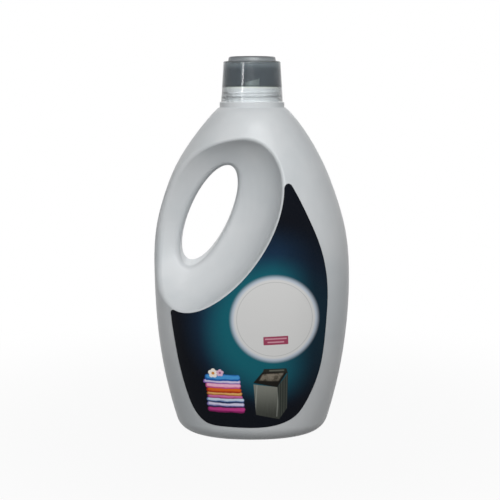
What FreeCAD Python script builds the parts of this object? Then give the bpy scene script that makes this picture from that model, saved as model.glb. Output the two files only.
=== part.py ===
# Laundry detergent bottle with a side handle, a pouring fitment and a measuring cap.
# Millimetres. +Z is up, the label faces -Y and the handle is on the -X side.
# The origin is on the surface that the bottle stands on, under the axis of its neck.
import os
import math
import FreeCAD, Part
from FreeCAD import Matrix, Vector

# Body
body_height = 337.0
body_width = 201.8
body_depth = 147.0
base_edge_radius = 20.0
wall = 1.35
base_wall = 2.2

# Outline of the body from base to collar, as shares of height, width and depth,
# with the squareness of the plan, where 2 is an ellipse and more is squarer,
# and how far the plan stands to the right, as a share of the width
outline = [
    (0.000, 0.745, 0.790, 2.05, 0.000),
    (0.135, 0.871, 0.875, 2.25, 0.000),
    (0.300, 0.965, 0.950, 2.40, 0.000),
    (0.490, 1.000, 1.000, 2.45, -0.001),
    (0.638, 0.964, 0.985, 2.40, -0.007),
    (0.742, 0.868, 0.930, 2.35, -0.010),
    (0.834, 0.741, 0.850, 2.25, -0.009),
    (0.905, 0.600, 0.750, 2.10, -0.004),
    (0.964, 0.452, 0.625, 2.00, 0.000),
]
loft_sections = 18

# Pushed-up base
base_ring_width = 11.0
base_push_up = 3.5
base_push_slope = 8.0

# Handle opening: a tilted oval right through the body
opening_inset = 56.9
opening_height = 228.5
opening_length = 111.0
opening_width = 41.0
opening_tilt = 24.3
opening_edge_radius = 7.5
opening_seam = math.radians(45)

# Grip recess round the opening, alike on both faces and run out past the handle's side
recess_length = 207.8
recess_width = 121.0
recess_tilt = 35.8
recess_shift_x = -2.2
recess_shift_z = -6.0
recess_overhang = 3.0
recess_edge_radius = 3.2
handle_depth = 35.0
handle_edge_radius = 9.5

# Collar and neck
collar_radius = 33.0
collar_height = 5.5
collar_step = 1.2
collar_edge_radius = 0.8
neck_height = 13.5
neck_radius = 26.8
neck_bore_radius = 25.2
thread_height = 1.2
thread_pitch = 4.2
thread_width = 2.0
thread_crest_width = 0.9
thread_turns = 2.1
thread_sink = 0.4

# Pouring fitment
fitment_clearance = 0.05
flange_thickness = 1.5
flange_radius = 26.6
fitment_wall = 1.3
fitment_depth = 18.0
floor_drop = 3.0
spout_radius = 7.6
spout_wall = 1.3
spout_rise = 8.5
spout_slot = 7.0
spout_lip_slope = 16.0

# Measuring cap
cap_gap = 0.3
cap_base_radius = 31.5
cap_top_radius = 28.9
cap_height = 40.5
cap_wall = 1.5
cap_edge_radius = 1.6
foot_radius = 24.7
foot_top_radius = 23.4
foot_height = 4.6
foot_edge_radius = 2.0
ledge_thickness = 1.3
ledge_overlap = 1.0
cap_thread_turns = 1.6

# Front label: its free edge, as shares of the half width and of the height above its lowest line.
# Its other edge follows the grip recess
label_thickness = 0.25
label_glue = 0.05
label_margin = 1.5
label_drop = 3.0
label_corner_radius = 5.0
label_tip_radius = 4.5
label_edge = [
    (0.222, 0.836), (0.390, 0.763), (0.532, 0.678), (0.676, 0.569), (0.742, 0.456), (0.743, 0.387),
    (0.729, 0.317), (0.676, 0.188), (0.613, 0.128), (0.525, 0.072), (0.438, 0.037),
    (0.340, 0.019), (0.085, 0.003), (-0.140, 0.003), (-0.335, 0.005), (-0.452, 0.012),
    (-0.530, 0.031), (-0.595, 0.062), (-0.657, 0.114), (-0.719, 0.188), (-0.766, 0.268),
    (-0.802, 0.348), (-0.818, 0.400),
]

# How far cutting shapes run past what they cut, and joined shapes into each other
overrun = 1.0

collar_top = body_height + collar_height
neck_top = collar_top + neck_height
flange_top = neck_top + flange_thickness


def plan_curve(height, half_width, half_depth, squareness, shift=0):
    """Closed plan of the body at one height."""
    count = 24
    points = []
    for i in range(count):
        turn = 2 * math.pi * i / count
        x = math.cos(turn)
        y = math.sin(turn)
        x = math.copysign(abs(x) ** (2 / squareness), x)
        y = math.copysign(abs(y) ** (2 / squareness), y)
        points.append(Vector(shift + half_width * x, half_depth * y, height))
    steps = [i / count for i in range(count + 1)]
    curve = Part.BSplineCurve()
    curve.interpolate(Points=points, PeriodicFlag=True, Parameters=steps)
    return Part.Wire([curve.toShape(0, 0.5), curve.toShape(0.5, 1)])


def outline_curves():
    """Smooth half width and half depth, and squareness and shift, of the body against its height."""
    top = collar_radius + collar_step
    sizes = []
    forms = []
    for height, width, depth, squareness, shift in outline:
        sizes.append(Vector(height * body_height, width * body_width / 2, depth * body_depth / 2))
        forms.append(Vector(height * body_height, squareness, shift * body_width))
    sizes.append(Vector(body_height, top, top))
    forms.append(Vector(body_height, 2, 0))
    heights = [size.x for size in sizes]
    sides = Part.BSplineCurve()
    sides.interpolate(Points=sizes, Parameters=heights)
    plans = Part.BSplineCurve()
    plans.interpolate(Points=forms, Parameters=heights)
    return sides, plans


def body_form(inset):
    """The body without its grip, drawn in from the outside by the inset."""
    sides, forms = outline_curves()
    plans = []
    for k in range(loft_sections + 1):
        height = body_height * k / loft_sections
        size = sides.value(height)
        lean = sides.tangent(height)[0]
        lean_x = math.hypot(1, lean.y / lean.x)
        lean_y = math.hypot(1, lean.z / lean.x)
        half_width = size.y - inset * lean_x
        half_depth = size.z - inset * lean_y
        form = forms.value(height)
        plans.append(plan_curve(height, half_width, half_depth, form.y, form.z))
    return Part.makeLoft(plans, True, False, False, 3)


def side_faces(form):
    """Front and back of the body, which meet at the mould's parting line."""
    return Part.Compound([face for face in form.Faces if face.BoundBox.ZLength > body_height / 2])


def tilted_axes(tilt):
    """Long and short direction of an oval that leans to the right by the tilt."""
    lean = math.radians(tilt)
    return Vector(math.sin(lean), 0, math.cos(lean)), Vector(math.cos(lean), 0, -math.sin(lean))


opening_x = opening_inset - body_width / 2


def opening_tool(inset):
    """Oval bar that makes the handle opening."""
    along, across = tilted_axes(opening_tilt)
    oval = Part.Ellipse(Vector(0, 0, 0), opening_length / 2 + inset, opening_width / 2 + inset)
    rim = oval.toShape(opening_seam, opening_seam + 2 * math.pi)
    bar = Part.Face(Part.Wire([rim])).extrude(Vector(0, 0, 2 * body_depth))
    bar.translate(Vector(0, 0, -body_depth))
    place = Matrix(
        along.x, across.x, 0, opening_x,
        0, 0, 1, 0,
        along.z, across.z, 0, opening_height,
        0, 0, 0, 1)
    return bar.transformed(place)


def recess_tool(inset):
    """Bowl that makes the grip recess: half an ellipsoid, carried on past the handle's side."""
    along, across = tilted_axes(recess_tilt)
    outward = Vector(0, -1, 0)
    level = body_depth / 2 + recess_overhang
    half_length = recess_length / 2 + inset
    half_width = recess_width / 2 + inset
    deep = level - handle_depth / 2 + inset
    sideways = Vector(-along.x / half_length, -across.x / half_width, 0).normalize()
    below = Vector(0, 0, -1)
    bend = (below - sideways).normalize()
    run = sideways * 4
    profile = Part.Wire([
        Part.Arc(-sideways, bend, below).toShape(),
        Part.makeLine(below, below + run),
        Part.makeLine(below + run, run),
        Part.makeLine(run, -sideways),
    ])
    bowl = Part.Face(profile).revolve(Vector(0, 0, 0), sideways, 360)
    along = along * half_length
    across = across * half_width
    outward = outward * deep
    place = Matrix(
        along.x, across.x, outward.x, opening_x + recess_shift_x,
        along.y, across.y, outward.y, -level,
        along.z, across.z, outward.z, opening_height + recess_shift_z,
        0, 0, 0, 1)
    return bowl.transformGeometry(place)


def in_opening(point, inset):
    """How far out a point lies in the handle opening: 1 is on its wall."""
    along, across = tilted_axes(opening_tilt)
    step = point - Vector(opening_x, point.y, opening_height)
    half_length = opening_length / 2 + inset
    half_width = opening_width / 2 + inset
    return math.hypot(step.dot(along) / half_length, step.dot(across) / half_width)


def rounded(form, radii):
    """Round numbered edges, each with its own radius at either end."""
    document = FreeCAD.newDocument()
    base = document.addObject("Part::Feature", "Base")
    base.Shape = form
    fillet = document.addObject("Part::Fillet", "Fillet")
    fillet.Base = base
    fillet.Edges = radii
    document.recompute()
    result = fillet.Shape.copy()
    FreeCAD.closeDocument(document.Name)
    return result


def gripped_form(inset):
    """The body with its grip recesses and handle opening, drawn in by the inset."""
    recess = recess_tool(inset)
    body = body_form(inset)
    base_edges = [edge for edge in body.Edges if edge.BoundBox.ZMax < overrun]
    body = body.makeFillet(base_edge_radius - inset, base_edges)
    side = side_faces(body)
    form = body.cut([recess, recess.mirror(Vector(0, 0, 0), Vector(0, 1, 0)), opening_tool(inset)])
    radii = []
    for number, edge in enumerate(form.Edges, start=1):
        box = edge.BoundBox
        start = edge.valueAt(edge.FirstParameter)
        middle = edge.valueAt((edge.FirstParameter + edge.LastParameter) / 2)
        end = edge.valueAt(edge.LastParameter)
        if box.ZMax < base_edge_radius or box.ZMin > body_height - overrun or box.YMin * box.YMax <= 0:
            continue
        elif abs(in_opening(middle, inset) - 1) < 0.01:
            radii.append((number, opening_edge_radius - inset, opening_edge_radius - inset))
        elif all(Part.Vertex(p).distToShape(side)[0] < 0.01 for p in (start, middle, end)):
            sizes = []
            for corner in (start, end):
                on_handle = abs(corner.y) < handle_depth / 2 + handle_edge_radius / 2
                sizes.append((handle_edge_radius if on_handle else recess_edge_radius) - inset)
            radii.append((number, sizes[0], sizes[1]))
    return rounded(form, radii)


def turned(points):
    """Solid of revolution about the neck's axis from radius and height pairs."""
    corners = [Vector(r, 0, z) for r, z in points]
    face = Part.Face(Part.makePolygon(corners + corners[:1]))
    return face.revolve(Vector(0, 0, 0), Vector(0, 0, 1), 360)


def rims_above(form, height):
    """Round rims of a turned solid that lie above a height."""
    return [edge for edge in form.Edges if edge.BoundBox.ZMin > height and edge.BoundBox.XLength > overrun]


def thread(root, crest, start, turns):
    """Helical rib from its root radius to its crest radius."""
    sink = math.copysign(thread_sink, root - crest)
    helix = Part.makeHelix(thread_pitch, thread_pitch * turns, root)
    half_root = thread_width / 2
    half_crest = thread_crest_width / 2
    corners = [
        Vector(root + sink, 0, -half_root),
        Vector(crest, 0, -half_crest),
        Vector(crest, 0, half_crest),
        Vector(root + sink, 0, half_root),
    ]
    profile = Part.makePolygon(corners + corners[:1])
    rib = Part.Wire([helix]).makePipeShell([profile], True, True)
    rib.translate(Vector(0, 0, start))
    return rib


thread_crest_radius = neck_radius + thread_height
thread_start = collar_top + thread_width


def make_bottle():
    outside = gripped_form(0)
    collar = Part.makeCylinder(collar_radius, collar_height, Vector(0, 0, body_height))
    collar = collar.makeFillet(collar_edge_radius, rims_above(collar, collar_top - overrun))
    neck = Part.makeCylinder(neck_radius, neck_height + overrun, Vector(0, 0, collar_top - overrun))
    rib = thread(neck_radius, thread_crest_radius, thread_start, thread_turns)
    outside = outside.fuse([collar, neck, rib])

    inside = gripped_form(wall)
    floor_cut = Part.makeBox(2 * body_width, 2 * body_depth, base_wall, Vector(-body_width, -body_depth, 0))
    ceiling = Part.makeCylinder(2 * collar_radius, 2 * wall, Vector(0, 0, body_height - wall))
    inside = inside.cut([floor_cut, ceiling])
    bore_start = body_height - 3 * wall
    bore = Part.makeCylinder(neck_bore_radius, neck_top - bore_start + overrun, Vector(0, 0, bore_start))
    inside = inside.fuse(bore)

    dish = push_up(0)
    hump = push_up(base_wall)
    return outside.cut(inside.cut(hump)).cut(dish)


def push_up(grow):
    """Shallow hollow under the base, or the hump that it makes inside."""
    half_width = outline[0][1] * body_width / 2 - base_edge_radius - base_ring_width + grow
    half_depth = outline[0][2] * body_depth / 2 - base_edge_radius - base_ring_width + grow
    low = plan_curve(-overrun, half_width, half_depth, 2)
    high = plan_curve(base_push_up + grow, half_width - base_push_slope, half_depth - base_push_slope, 2)
    return Part.makeLoft([low, high], True, True)


def make_fitment():
    skirt_radius = neck_bore_radius - fitment_clearance
    inner_radius = skirt_radius - fitment_wall
    floor_rim = flange_top - fitment_depth
    floor_middle = floor_rim - floor_drop
    body = turned([
        (0, floor_middle),
        (skirt_radius, floor_rim),
        (skirt_radius, neck_top),
        (flange_radius, neck_top),
        (flange_radius, flange_top),
        (inner_radius, flange_top),
        (inner_radius, floor_rim + fitment_wall),
        (0, floor_middle + fitment_wall),
    ])
    spout_top = flange_top + spout_rise
    spout = Part.makeCylinder(spout_radius, spout_top - floor_middle, Vector(0, 0, floor_middle))
    channel_start = Vector(0, 0, floor_middle - overrun)
    channel = Part.makeCylinder(spout_radius - spout_wall, 2 * fitment_depth + spout_rise, channel_start)
    slot_length = 2 * spout_radius
    slot_start = Vector(-slot_length, -spout_slot / 2, floor_middle - overrun)
    slot = Part.makeBox(slot_length, spout_slot, spout_top, slot_start)
    trim_length = 6 * spout_radius
    trim_width = 4 * spout_radius
    trim = Part.makeBox(trim_length, trim_width, trim_width, Vector(-trim_length, -trim_width / 2, 0))
    trim.rotate(Vector(0, 0, 0), Vector(0, 1, 0), -spout_lip_slope)
    trim.translate(Vector(spout_radius, 0, spout_top))
    spout = spout.cut(trim)
    body = body.fuse(spout).cut(channel)
    return body.cut(slot)


def make_cap():
    base = collar_top + cap_gap
    top = base + cap_height
    lean = (cap_base_radius - cap_top_radius) / cap_height
    ledge_low = flange_top + cap_gap
    ledge_high = ledge_low + ledge_thickness
    ledge_radius = flange_radius - ledge_overlap

    def inner(height):
        return cap_base_radius - lean * (height - base) - cap_wall

    outside = turned([(0, base), (cap_base_radius, base), (cap_top_radius, top), (0, top)])
    outside = outside.makeFillet(cap_edge_radius, rims_above(outside, top - overrun))
    foot = Part.makeCone(foot_radius, foot_top_radius, foot_height + overrun, Vector(0, 0, top - overrun))
    foot = foot.makeFillet(foot_edge_radius, rims_above(foot, top + foot_height - overrun))
    outside = outside.fuse(foot)
    inside = turned([
        (0, base - overrun),
        (inner(base - overrun), base - overrun),
        (inner(ledge_low), ledge_low),
        (ledge_radius, ledge_low),
        (ledge_radius, ledge_high),
        (inner(ledge_high), ledge_high),
        (inner(top - cap_wall), top - cap_wall),
        (foot_radius - cap_wall, top - cap_wall),
        (foot_top_radius - cap_wall, top + foot_height - cap_wall),
        (0, top + foot_height - cap_wall),
    ])
    cap = outside.cut(inside)
    crest = thread_crest_radius + cap_gap
    rib = thread(inner(base + thread_pitch), crest, base + thread_width, cap_thread_turns)
    return cap.fuse(rib)


def make_label():
    back = body_form(-label_glue)
    front = body_form(-label_glue - label_thickness)
    skin = side_faces(front)
    lowest = base_edge_radius - label_drop
    upright = body_height - lowest
    points = [Vector(x * body_width / 2, 0, lowest + z * upright) for x, z in label_edge]
    curve = Part.BSplineCurve()
    curve.interpolate(points)
    border = curve.toShape()
    blank = Part.Face(Part.Wire([border, Part.makeLine(points[-1], points[0])]))
    blank = blank.extrude(Vector(0, -body_depth, 0)).cut(recess_tool(label_margin))
    corners = []
    for number, edge in enumerate(blank.Edges, start=1):
        middle = edge.valueAt((edge.FirstParameter + edge.LastParameter) / 2)
        middle.y = 0
        on_border = Part.Vertex(middle).distToShape(border)[0] < 0.01
        if edge.BoundBox.YLength > label_corner_radius and on_border and edge.distToShape(skin)[0] < 0.01:
            radius = label_tip_radius if middle.x > 0 else label_corner_radius
            corners.append((number, radius, radius))
    film = rounded(blank, corners).common(front).cut(back)
    return max(film.Solids, key=lambda solid: solid.Volume)


os.makedirs("parts", exist_ok=True)
pieces = {
    "bottle": make_bottle,
    "pour_spout": make_fitment,
    "measuring_cap": make_cap,
    "front_label": make_label,
}
for name, make in pieces.items():
    shape = make()
    solids = shape.Solids
    if len(solids) == 1:
        shape = solids[0]
    shape.exportStep("parts/" + name + ".step")
    print(name, "solids", len(solids), "valid", shape.isValid(), "cm3 %.1f" % (shape.Volume / 1000))
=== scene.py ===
import math
import bpy
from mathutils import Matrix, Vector


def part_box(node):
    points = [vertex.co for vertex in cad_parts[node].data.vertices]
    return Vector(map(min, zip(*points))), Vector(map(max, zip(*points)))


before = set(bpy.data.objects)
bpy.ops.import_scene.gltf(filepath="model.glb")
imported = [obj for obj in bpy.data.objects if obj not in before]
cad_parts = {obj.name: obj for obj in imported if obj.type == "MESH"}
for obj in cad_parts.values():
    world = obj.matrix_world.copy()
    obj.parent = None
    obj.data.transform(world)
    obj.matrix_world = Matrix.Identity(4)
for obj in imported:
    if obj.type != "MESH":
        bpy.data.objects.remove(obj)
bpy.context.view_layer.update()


# Colours are written as screen values and used as linear ones
def paint(code):
    parts = [int(code[i:i + 2], 16) / 255 for i in (1, 3, 5)]
    return [c / 12.92 if c < 0.04045 else ((c + 0.055) / 1.055) ** 2.4 for c in parts] + [1]


# Material helpers

def feed(tree, socket, value):
    if isinstance(value, bpy.types.NodeSocket):
        tree.links.new(value, socket)
    else:
        socket.default_value = value


def newMaterial(name, finish):
    material = bpy.data.materials.new(name)
    material.use_nodes = True
    tree = material.node_tree
    shader = tree.nodes["Principled BSDF"]
    for socket, value in finish.items():
        shader.inputs[socket].default_value = value
    return material, tree, shader


def objectPoint(tree):
    return tree.nodes.new("ShaderNodeTexCoord").outputs["Object"]


def calc(tree, operation, *values, clamp=False):
    node = tree.nodes.new("ShaderNodeMath")
    node.operation = operation
    node.use_clamp = clamp
    for socket, value in zip(node.inputs, values):
        feed(tree, socket, value)
    return node.outputs[0]


def vectorCalc(tree, operation, *values):
    node = tree.nodes.new("ShaderNodeVectorMath")
    node.operation = operation
    for socket, value in zip(node.inputs, values):
        feed(tree, socket, value)
    return node.outputs["Value"] if operation in ("LENGTH", "DOT_PRODUCT") else node.outputs["Vector"]


def split(tree, vector):
    node = tree.nodes.new("ShaderNodeSeparateXYZ")
    feed(tree, node.inputs[0], vector)
    return node.outputs


def stretch(tree, vector, scale):
    node = tree.nodes.new("ShaderNodeMapping")
    feed(tree, node.inputs["Vector"], vector)
    node.inputs["Scale"].default_value = scale
    return node.outputs[0]


def noise(tree, vector, scale, detail=2.0, roughness=0.5):
    node = tree.nodes.new("ShaderNodeTexNoise")
    feed(tree, node.inputs["Vector"], vector)
    node.inputs["Scale"].default_value = scale
    node.inputs["Detail"].default_value = detail
    node.inputs["Roughness"].default_value = roughness
    return node.outputs["Fac"]


# A value is carried from one range to another, with soft ends
def remap(tree, value, low, high, newLow=0.0, newHigh=1.0):
    node = tree.nodes.new("ShaderNodeMapRange")
    node.interpolation_type = "SMOOTHSTEP"
    feed(tree, node.inputs["Value"], value)
    node.inputs["From Min"].default_value = low
    node.inputs["From Max"].default_value = high
    node.inputs["To Min"].default_value = newLow
    node.inputs["To Max"].default_value = newHigh
    return node.outputs["Result"]


def mixColour(tree, factor, below, above):
    node = tree.nodes.new("ShaderNodeMix")
    node.data_type = "RGBA"
    feed(tree, node.inputs["Factor"], factor)
    feed(tree, node.inputs[6], below)
    feed(tree, node.inputs[7], above)
    return node.outputs[2]


def bump(tree, shader, height, strength, distance, under=None):
    node = tree.nodes.new("ShaderNodeBump")
    feed(tree, node.inputs["Height"], height)
    node.inputs["Strength"].default_value = strength
    node.inputs["Distance"].default_value = distance
    if under:
        tree.links.new(under, node.inputs["Normal"])
    tree.links.new(node.outputs[0], shader.inputs["Normal"])
    return node.outputs[0]


def finishNode(name, material):
    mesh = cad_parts[name].data
    mesh.materials.clear()
    mesh.materials.append(material)


# Bottle: blown white plastic, with a parting line round its sides

bottleLook = {
    "thick": "#c6c9cb",
    "thin": "#babfc2",
    "footGrey": "#a9adaf",
    "roughness": 0.36,
    "cloudScale": 11,
    "flowScale": (150, 150, 3),
    "flowTint": 0.06,
    "speckScale": 420,
    "footGreyHeight": 0.016,
    "peelScale": 650,
    "partingWidth": 0.0007,
    "partingRise": 0.0003,
}


def bottlePlastic():
    look = bottleLook
    material, tree, shader = newMaterial("bottlePlastic", {
        "IOR": 1.5,
        "Specular IOR Level": 0.35,
        "Subsurface Weight": 0.12,
        "Subsurface Radius": (1.0, 1.0, 1.0),
        "Subsurface Scale": 0.006,
    })
    point = objectPoint(tree)
    x, y, z = split(tree, point)

    # Cloudy wall thickness and faint upright flow lines from the blowing
    cloud = remap(tree, noise(tree, point, look["cloudScale"], 3, 0.55), 0.35, 0.68)
    flow = noise(tree, stretch(tree, point, look["flowScale"]), 1.0, 3, 0.6)
    body = mixColour(tree, cloud, paint(look["thin"]), paint(look["thick"]))
    body = mixColour(tree, calc(tree, "MULTIPLY", flow, look["flowTint"]), body, paint("#ffffff"))

    # Darker grey towards the bottom of the foot, broken into specks, and rougher there
    footMask = remap(tree, z, look["footGreyHeight"], 0.0)
    specks = remap(tree, noise(tree, point, look["speckScale"], 4, 0.7), 0.50, 0.66)
    footMask = calc(tree, "MULTIPLY", footMask, calc(tree, "ADD", calc(tree, "MULTIPLY", specks, 0.6), 0.25))
    body = mixColour(tree, footMask, body, paint(look["footGrey"]))
    tree.links.new(body, shader.inputs["Base Color"])

    sheen = calc(tree, "MULTIPLY_ADD", flow, 0.10, look["roughness"] - 0.05)
    sheen = calc(tree, "ADD", sheen, calc(tree, "MULTIPLY", footMask, 0.25))
    tree.links.new(sheen, shader.inputs["Roughness"])

    # Orange peel, flow lines and the thin raised line where the mould's halves met
    peel = noise(tree, point, look["peelScale"], 2, 0.5)
    first = bump(tree, shader, peel, 0.22, 0.0002)
    second = bump(tree, shader, flow, 0.18, 0.0003, first)
    ridge = remap(tree, calc(tree, "ABSOLUTE", y), look["partingWidth"], 0.0)
    bump(tree, shader, ridge, 1.0, look["partingRise"], second)
    return material


finishNode("bottle", bottlePlastic())
print("bottle finished")


# Measuring cap: clear grey moulded plastic
# Its bands are in metres above the top of the neck, or below the top of the cap

capLook = {
    "cup": "#78838a",
    "cupTop": "#b2bbbf",
    "skirt": "#e8eaea",
    "foot": "#d6dadc",
    "smoke": "#9aa0a3",
    "smokeDensity": 340,
    "roughness": 0.12,
    "skirtAbove": (0.0025, 0.0005),
    "footBelow": (0.007, 0.004),
    "paleBelow": (0.014, 0.005),
    "swirlScale": (60, 60, 14),
    "swirlTint": 0.18,
    "rippleScale": (260, 260, 30),
    "grainScale": 900,
}
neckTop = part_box("bottle")[1][2]
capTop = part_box("measuring_cap")[1][2]


def capPlastic():
    look = capLook
    material, tree, shader = newMaterial("capPlastic", {
        "IOR": 1.44,
        "Transmission Weight": 0.92,
        "Specular Tint": (0.6, 0.6, 0.6, 1),
    })
    point = objectPoint(tree)
    z = split(tree, point)[2]
    swirl = noise(tree, stretch(tree, point, look["swirlScale"]), 1.0, 3, 0.55)

    # Painted shade: the cup's tint is darker than the skirt's, standing in for the shade seen through it,
    # over the real grey of the plastic. It is paler just under its top, the skirt round the neck is thin
    # and pale, and the foot is milky
    skirt = remap(tree, z, neckTop + look["skirtAbove"][0], neckTop + look["skirtAbove"][1])
    foot = remap(tree, z, capTop - look["footBelow"][0], capTop - look["footBelow"][1])
    rise = remap(tree, z, capTop - look["paleBelow"][0], capTop - look["paleBelow"][1])
    tint = mixColour(tree, rise, paint(look["cup"]), paint(look["cupTop"]))
    tint = mixColour(tree, skirt, tint, paint(look["skirt"]))
    tint = mixColour(tree, foot, tint, paint(look["foot"]))
    tint = mixColour(tree, calc(tree, "MULTIPLY", swirl, look["swirlTint"]), tint, paint("#ffffff"))
    tree.links.new(tint, shader.inputs["Base Color"])
    sheen = calc(tree, "MULTIPLY_ADD", swirl, 0.10, look["roughness"] - 0.05)
    tree.links.new(calc(tree, "MULTIPLY_ADD", foot, 0.20, sheen), shader.inputs["Roughness"])
    waves = noise(tree, stretch(tree, point, look["rippleScale"]), 1.0, 2, 0.5)
    ripple = bump(tree, shader, waves, 0.15, 0.0003)
    bump(tree, shader, noise(tree, point, look["grainScale"], 2, 0.5), 0.10, 0.0001, ripple)

    # The plastic is grey all through, so it looks darker where it is seen edge on
    smoke = tree.nodes.new("ShaderNodeVolumeAbsorption")
    smoke.inputs["Color"].default_value = paint(look["smoke"])
    smoke.inputs["Density"].default_value = look["smokeDensity"]
    tree.links.new(smoke.outputs[0], tree.nodes["Material Output"].inputs["Volume"])
    return material


finishNode("measuring_cap", capPlastic())
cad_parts["measuring_cap"].visible_shadow = False  # clear plastic leaves hardly a shadow
print("measuring cap finished")


# Pouring fitment: natural plastic, a little green in its thickness

spoutLook = {
    "natural": "#c9d0c4",
    "pale": "#dfe3da",
    "roughness": 0.32,
    "cloudScale": 90,
    "grainScale": 700,
}


def spoutPlastic():
    look = spoutLook
    material, tree, shader = newMaterial("spoutPlastic", {
        "IOR": 1.5,
        "Subsurface Weight": 0.15,
        "Subsurface Radius": (1.0, 1.0, 1.0),
        "Subsurface Scale": 0.003,
    })
    point = objectPoint(tree)
    cloud = noise(tree, point, look["cloudScale"], 3, 0.5)
    body = mixColour(tree, cloud, paint(look["natural"]), paint(look["pale"]))
    tree.links.new(body, shader.inputs["Base Color"])
    tree.links.new(calc(tree, "MULTIPLY_ADD", cloud, 0.15, look["roughness"]), shader.inputs["Roughness"])
    bump(tree, shader, noise(tree, point, look["grainScale"], 2, 0.5), 0.15, 0.0002)
    return material


finishNode("pour_spout", spoutPlastic())
print("pouring fitment finished")


# Front label: printed film. Print sizes are millimetres across the front of the bottle

labelLook = {
    "night": "#010510",
    "deep": "#112d46",
    "teal": "#0e5c69",
    "paper": "#d2d2d1",
    "halo": "#b9c2ce",
    "ring": "#a7a9a8",
    "banner": "#97415a",
    "bannerLine": "#e6b4c2",
    "roughness": 0.12,
    "grainScale": 1800,
    "waveScale": 55,
    "filmScale": 1100,
}
discPlace = {"x": 22.3, "z": 131.0, "radius": 41.6, "halo": 4.1, "fade": 2.6, "ring": 37.4}

# The glow: how far it goes past the disc, and how much weaker it is to the disc's right
glow = {
    "wide": (58, 14),
    "near": (36, 4),
    "right": 42,
    "left": -6,
    "weakest": 0.08,
    "flatten": 0.15,
    "blotchScale": 0.05,
}
banner = {
    "place": (23.5, 109.6),
    "wide": 24.6,
    "high": 8.6,
    "turn": 2.0,
    "lines": [(111.4, 21.5), (108.0, 16.5)],
    "lineHigh": 1.3,
    "lineStrength": 0.6,
}


# Soft-edged rectangle with rounded corners, turned about its own middle
def patchGroup():
    group = bpy.data.node_groups.new("roundedPatch", "ShaderNodeTree")
    for name, kind in (("Point", "Vector"), ("Centre", "Vector"), ("Half", "Vector"),
                       ("Radius", "Float"), ("Edge", "Float"), ("Turn", "Float")):
        group.interface.new_socket(name, in_out="INPUT", socket_type="NodeSocket" + kind)
    group.interface.new_socket("Mask", in_out="OUTPUT", socket_type="NodeSocketFloat")
    given = group.nodes.new("NodeGroupInput").outputs
    result = group.nodes.new("NodeGroupOutput").inputs
    turned = group.nodes.new("ShaderNodeVectorRotate")
    turned.rotation_type = "Y_AXIS"
    for name, source in (("Vector", "Point"), ("Center", "Centre"), ("Angle", "Turn")):
        group.links.new(given[source], turned.inputs[name])
    away = vectorCalc(group, "ABSOLUTE", vectorCalc(group, "SUBTRACT", turned.outputs[0], given["Centre"]))
    corner = vectorCalc(group, "SUBTRACT", given["Half"], given["Radius"])
    past = vectorCalc(group, "MAXIMUM", vectorCalc(group, "SUBTRACT", away, corner), (0, 0, 0))
    gap = calc(group, "SUBTRACT", vectorCalc(group, "LENGTH", past), given["Radius"])
    mask = calc(group, "SUBTRACT", 0.5, calc(group, "DIVIDE", gap, given["Edge"]), clamp=True)
    group.links.new(mask, result["Mask"])
    return group


def patch(tree, group, point, x, z, wide, high, radius=None, edge=0.5, turn=0.0):
    node = tree.nodes.new("ShaderNodeGroup")
    node.node_tree = group
    feed(tree, node.inputs["Point"], point)
    node.inputs["Centre"].default_value = (x, 0, z)
    node.inputs["Half"].default_value = (wide / 2, 1000, high / 2)
    node.inputs["Radius"].default_value = min(wide, high) / 2 if radius is None else radius
    node.inputs["Edge"].default_value = edge
    node.inputs["Turn"].default_value = math.radians(turn)
    return node.outputs["Mask"]


# Soft-edged polygon, its corners listed clockwise as seen from the front
def panel(tree, point, corners, edge=0.6):
    mask = None
    for (x, z), (nextX, nextZ) in zip(corners, corners[1:] + corners[:1]):
        length = math.hypot(nextX - x, nextZ - z)
        inward = ((nextZ - z) / length / edge, 0, (x - nextX) / length / edge)
        start = inward[0] * x + inward[2] * z - 0.5
        side = calc(tree, "SUBTRACT", vectorCalc(tree, "DOT_PRODUCT", point, inward), start, clamp=True)
        mask = side if mask is None else calc(tree, "MULTIPLY", mask, side)
    return mask


# Folded towels, from the lowest up: left, right, bottom, top, colour, shade
towels = [
    (-44.4, -6.9, 33.9, 39.6, "#c2408a", "#7d1d58"),
    (-45.2, -7.6, 40.2, 44.4, "#dcd9ec", "#6f66a8"),
    (-45.2, -7.6, 45.2, 49.4, "#cfdcea", "#5f79ad"),
    (-44.4, -9.1, 49.0, 52.4, "#d678ac", "#93306c"),
    (-45.2, -9.8, 52.0, 55.6, "#e3b06a", "#a35f26"),
    (-45.2, -10.6, 55.0, 60.2, "#dc6a1e", "#a32d16"),
    (-46.6, -11.3, 59.6, 64.8, "#f2bdd3", "#c04f88"),
    (-48.6, -11.4, 64.4, 68.4, "#d9cfe8", "#7c57a6"),
    (-47.4, -12.0, 67.4, 73.8, "#4a9ad6", "#1a559f"),
]

# Flower heads on the towels: x, z, petal colour, heart colour, size
flowers = [
    (-38.9, 75.2, "#efe9df", "#d08a3a", 3.0),
    (-32.0, 75.8, "#dcb4cb", "#a35f86", 2.3),
]
clothLook = {
    "drift": 2.4,
    "driftScale": (0.10, 1, 0.22),
    "weave": 0.55,
    "weaveScale": (0.25, 1, 1.6),
    "foldHeights": (39.9, 44.8),
    "foldMiddle": -25.5,
    "foldWide": 36,
    "foldTall": 1.2,
    "fold": "#1b2a48",
    "petals": 5,
}


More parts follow.
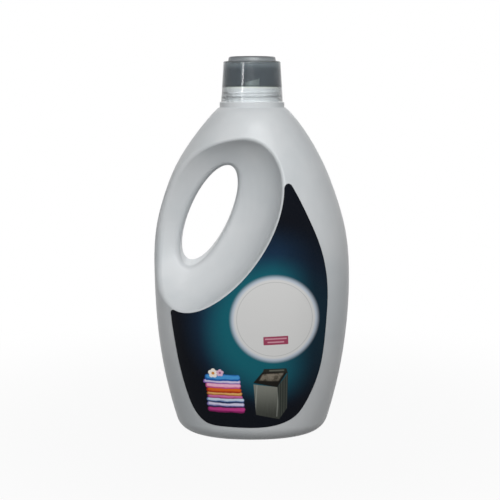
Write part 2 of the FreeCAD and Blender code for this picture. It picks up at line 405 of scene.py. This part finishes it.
def drawTowels(tree, group, point, colour):
    # The folds wander a little, as soft cloth does
    cloth = clothLook
    drift = noise(tree, stretch(tree, point, cloth["driftScale"]), 1.0, 2)
    drift = calc(tree, "MULTIPLY_ADD", drift, cloth["drift"], -cloth["drift"] / 2)
    shift = tree.nodes.new("ShaderNodeCombineXYZ")
    feed(tree, shift.inputs[0], drift)
    feed(tree, shift.inputs[2], drift)
    wander = vectorCalc(tree, "ADD", point, shift.outputs[0])
    weave = noise(tree, stretch(tree, point, cloth["weaveScale"]), 1.0, 3, 0.6)
    weave = calc(tree, "MULTIPLY", weave, cloth["weave"])
    for left, right, low, high, face, shade in towels:
        x, z = (left + right) / 2, (low + high) / 2
        wide, tall = right - left, high - low
        whole = patch(tree, group, wander, x, z, wide, tall, tall * 0.42)
        colour = mixColour(tree, whole, colour, paint(shade))
        lit = patch(tree, group, wander, x + 0.4, z + tall * 0.10, wide - 1.6, tall * 0.60, tall * 0.3, 1.3)
        lit = calc(tree, "SUBTRACT", lit, calc(tree, "MULTIPLY", weave, lit))
        colour = mixColour(tree, calc(tree, "MULTIPLY", lit, 1.25, clamp=True), colour, paint(face))
    for z in cloth["foldHeights"]:
        fold = patch(tree, group, wander, cloth["foldMiddle"], z, cloth["foldWide"], cloth["foldTall"])
        colour = mixColour(tree, fold, colour, paint(cloth["fold"]))
    for x, z, petal, heart, size in flowers:
        for k in range(cloth["petals"]):
            turn = math.radians(90 + 360 / cloth["petals"] * k)
            leafX = x + size * 0.9 * math.cos(turn)
            leafZ = z + size * 0.9 * math.sin(turn)
            leaf = patch(tree, group, point, leafX, leafZ, size * 1.5, size * 1.5, edge=0.6)
            colour = mixColour(tree, leaf, colour, paint(petal))
        middle = patch(tree, group, point, x, z, size, size, edge=0.6)
        colour = mixColour(tree, middle, colour, paint(heart))
    return colour


# Washing machine: each face's corners, clockwise from its top left
washer = {
    "side": [(25.1, 61.4), (35.9, 75.4), (35.2, 38.3), (27.5, 26.8)],
    "front": [(1.5, 64.3), (25.3, 61.2), (27.6, 26.7), (4.2, 32.0)],
    "back": [(11.8, 80.4), (34.2, 80.6), (35.8, 75.4), (10.4, 76.4)],
    "lid": [(10.2, 77.0), (34.6, 76.0), (25.1, 61.0), (1.3, 65.9)],
    "glass": [(10.9, 74.9), (31.4, 75.7), (26.3, 67.6), (7.1, 68.2)],
}
washerLook = {
    "back": "#23241f",
    "screen": "#5b5d54",
    "screenPlace": (24.6, 78.6),
    "screenSize": (15.0, 1.5),
    "side": "#2e322e",
    "rib": "#6a6f66",
    "ribPitch": 2.6,
    "metalLow": "#2b2d28",
    "metalHigh": "#7b7d75",
    "brushed": "#8f9189",
    "bright": "#a9aca5",
    "brightPlaces": ((3.9, 0.5), (25.9, 0.45)),
    "brightSize": (0.9, 34.0),
    "fade": (28, 68),
    "lid": "#15130f",
    "glassDark": "#3f3a30",
    "glassPale": "#837b6e",
}


def drawWasher(tree, group, point, colour):
    look = washerLook
    x, y, z = split(tree, point)
    colour = mixColour(tree, panel(tree, point, washer["back"]), colour, paint(look["back"]))
    screen = patch(tree, group, point, *look["screenPlace"], *look["screenSize"], 0.5, 0.6, 1.0)
    colour = mixColour(tree, screen, colour, paint(look["screen"]))

    # The ribbed side is dark, and the front fades towards the floor
    side = panel(tree, point, washer["side"])
    colour = mixColour(tree, side, colour, paint(look["side"]))
    ribs = remap(tree, calc(tree, "SINE", calc(tree, "MULTIPLY", x, look["ribPitch"])), -1, 1, 0, 0.22)
    colour = mixColour(tree, calc(tree, "MULTIPLY", ribs, side), colour, paint(look["rib"]))
    front = panel(tree, point, washer["front"])
    fade = remap(tree, z, look["fade"][0], look["fade"][1])
    brushed = noise(tree, stretch(tree, point, (0.9, 1, 0.06)), 1.0, 2, 0.5)
    metal = mixColour(tree, fade, paint(look["metalLow"]), paint(look["metalHigh"]))
    metal = mixColour(tree, calc(tree, "MULTIPLY", brushed, 0.16), metal, paint(look["brushed"]))
    colour = mixColour(tree, front, colour, metal)
    for place, strength in look["brightPlaces"]:
        bright = patch(tree, group, point, place, 46.4, *look["brightSize"], 0.4, 1.0, -3.6)
        bright = calc(tree, "MULTIPLY", calc(tree, "MULTIPLY", bright, front), strength)
        colour = mixColour(tree, bright, colour, paint(look["bright"]))

    colour = mixColour(tree, panel(tree, point, washer["lid"]), colour, paint(look["lid"]))
    glass = panel(tree, point, washer["glass"], 1.4)
    cloud = remap(tree, noise(tree, point, 0.14, 3, 0.6), 0.30, 0.66)
    sheen = mixColour(tree, cloud, paint(look["glassDark"]), paint(look["glassPale"]))
    return mixColour(tree, glass, colour, sheen)


def labelFilm():
    look = labelLook
    material, tree, shader = newMaterial("labelFilm", {
        "IOR": 1.5,
        "Specular IOR Level": 0.05,
    })
    group = patchGroup()
    metres = objectPoint(tree)
    point = vectorCalc(tree, "MULTIPLY", metres, (1000, 0, 1000))
    disc = discPlace
    radius = disc["radius"]

    # Night blue ground with a teal glow that spreads from behind the disc, most to its left
    centre = vectorCalc(tree, "SUBTRACT", point, (disc["x"], 0, disc["z"]))
    distance = vectorCalc(tree, "LENGTH", centre)
    offset = split(tree, centre)
    lean = remap(tree, offset[0], glow["right"], glow["left"], glow["weakest"], 1.0)
    blotch = calc(tree, "MULTIPLY_ADD", noise(tree, point, glow["blotchScale"], 2, 0.5), 0.5, 0.75)
    wide = remap(tree, distance, radius + glow["wide"][0], radius + glow["wide"][1])
    wide = calc(tree, "MULTIPLY", wide, blotch)
    wide = calc(tree, "MULTIPLY", wide, calc(tree, "MULTIPLY_ADD", lean, 0.8, 0.2), clamp=True)
    reach = calc(tree, "MULTIPLY_ADD", offset[2], glow["flatten"], distance)
    near = remap(tree, reach, radius + glow["near"][0], radius + glow["near"][1])
    near = calc(tree, "MULTIPLY", near, lean)
    colour = mixColour(tree, wide, paint(look["night"]), paint(look["deep"]))
    colour = mixColour(tree, near, colour, paint(look["teal"]))

    # Disc with a soft halo and a fine ring, and a plain banner on it
    halo = remap(tree, distance, radius + disc["halo"], radius - 1.0)
    colour = mixColour(tree, halo, colour, paint(look["halo"]))
    paper = remap(tree, distance, radius, radius - disc["fade"])
    colour = mixColour(tree, paper, colour, paint(look["paper"]))
    ring = calc(tree, "ABSOLUTE", calc(tree, "SUBTRACT", distance, disc["ring"]))
    ring = calc(tree, "MULTIPLY", remap(tree, ring, 0.55, 0.15), 0.55)
    colour = mixColour(tree, ring, colour, paint(look["ring"]))
    x, z = banner["place"]
    ground = patch(tree, group, point, x, z, banner["wide"], banner["high"], 0.7, 0.6, banner["turn"])
    colour = mixColour(tree, ground, colour, paint(look["banner"]))
    for z, wide in banner["lines"]:
        line = patch(tree, group, point, x, z, wide, banner["lineHigh"], 0.5, 0.6, banner["turn"])
        line = calc(tree, "MULTIPLY", line, banner["lineStrength"])
        colour = mixColour(tree, line, colour, paint(look["bannerLine"]))

    colour = drawTowels(tree, group, point, colour)
    colour = drawWasher(tree, group, point, colour)

    # Print grain, and the slight waves of a film glued on by machine
    grain = remap(tree, noise(tree, metres, look["grainScale"], 2, 0.6), 0.3, 0.7, 0.0, 0.006)
    tree.links.new(mixColour(tree, grain, colour, paint("#ffffff")), shader.inputs["Base Color"])
    wave = noise(tree, metres, look["waveScale"], 2, 0.5)
    tree.links.new(calc(tree, "MULTIPLY_ADD", wave, 0.12, look["roughness"]), shader.inputs["Roughness"])
    first = bump(tree, shader, wave, 0.25, 0.0006)
    bump(tree, shader, noise(tree, metres, look["filmScale"], 2, 0.5), 0.06, 0.0001, first)
    return material


finishNode("front_label", labelFilm())
print("front label finished")


# Studio: pale floor, greyed by painted shade near the object, soft lights and the camera
# Each lamp's name, place, size and power, and whether it shows in gloss

stage = {
    "floorSize": 12.0,
    "floorColour": "#6a6a6a",
    "shadedFloorWhite": 0.94,
    "paintedShadeReach": (0.12, 0.6),
    "ambient": 0.05,
    "lamps": [
        ("keyLamp", (0.24, -0.95, 1.02), (0.7, 0.5), 9.2, True),
        ("frontLamp", (-0.15, -1.7, 0.95), (0.8, 0.5), 12.5, True),
        ("stripLamp", (-0.76, -1.09, 0.556), (0.03, 0.25), 2, True),
        ("backLeftLamp", (-0.32, 1.6, 0.85), (0.7, 0.6), 14, False),
        ("backRightLamp", (0.32, 1.6, 0.85), (0.7, 0.6), 14, False),
    ],
    "aim": (0, 0, 0.19),
}


def floorMaterial():
    material = bpy.data.materials.new("paleFloor")
    material.use_nodes = True
    tree = material.node_tree
    tree.nodes.clear()
    output = tree.nodes.new("ShaderNodeOutputMaterial")
    matt = tree.nodes.new("ShaderNodeBsdfDiffuse")
    matt.inputs["Color"].default_value = paint(stage["floorColour"])
    plain = tree.nodes.new("ShaderNodeEmission")
    plain.inputs["Color"].default_value = (1, 1, 1, 1)
    # Painted shade: seen directly, the floor is less white within reach of the middle, where the object
    # stands, and fully white farther off
    away = vectorCalc(tree, "LENGTH", objectPoint(tree))
    paintedShadeMix = remap(tree, away, stage["paintedShadeReach"][0], stage["paintedShadeReach"][1], stage["shadedFloorWhite"], 1.0)
    seen = seenDirectly(tree)
    mix = tree.nodes.new("ShaderNodeMixShader")
    feed(tree, mix.inputs[0], calc(tree, "MULTIPLY", paintedShadeMix, seen))
    tree.links.new(matt.outputs[0], mix.inputs[1])
    tree.links.new(plain.outputs[0], mix.inputs[2])
    tree.links.new(mix.outputs[0], output.inputs[0])
    return material


def seenDirectly(tree):
    path = tree.nodes.new("ShaderNodeLightPath")
    seen = calc(tree, "MAXIMUM", path.outputs["Is Camera Ray"], path.outputs["Is Glossy Ray"])
    return calc(tree, "MAXIMUM", seen, path.outputs["Is Transmission Ray"])


def makeStage():
    bpy.ops.object.select_all(action="DESELECT")
    bpy.ops.mesh.primitive_plane_add(size=stage["floorSize"], location=(0, 0, 0))
    floor = bpy.context.object
    floor.name = "floor"
    floor.data.materials.append(floorMaterial())

    world = bpy.data.worlds.new("studio")
    bpy.context.scene.world = world
    world.use_nodes = True
    tree = world.node_tree
    background = tree.nodes["Background"]
    background.inputs["Color"].default_value = (1, 1, 1, 1)
    ambient = stage["ambient"]
    seen = seenDirectly(tree)
    feed(tree, background.inputs["Strength"], calc(tree, "MULTIPLY_ADD", seen, 1 - ambient, ambient))

    for name, place, size, power, shines in stage["lamps"]:
        light = bpy.data.lights.new(name, "AREA")
        light.shape = "RECTANGLE"
        light.size = size[0]
        light.size_y = size[1]
        light.energy = power
        lamp = bpy.data.objects.new(name, light)
        lamp.location = place
        lamp.visible_glossy = shines
        lamp.visible_transmission = shines
        toward = Vector(stage["aim"]) - Vector(place)
        lamp.rotation_euler = toward.to_track_quat("-Z", "Y").to_euler()
        bpy.context.scene.collection.objects.link(lamp)


cameraView = {"place": (0, -1.1, 0.345), "target": (0, 0, 0.19), "lens": 76.9, "shift": -0.004}


def makeCamera():
    data = bpy.data.cameras.new("camera")
    data.lens = cameraView["lens"]
    data.sensor_width = 36
    data.shift_x = cameraView["shift"]
    camera = bpy.data.objects.new("camera", data)
    camera.location = cameraView["place"]
    toward = Vector(cameraView["target"]) - Vector(cameraView["place"])
    camera.rotation_euler = toward.to_track_quat("-Z", "Y").to_euler()
    bpy.context.scene.collection.objects.link(camera)
    bpy.context.scene.camera = camera


makeStage()
makeCamera()
bpy.context.scene.view_settings.view_transform = "Standard"
print("stage finished")
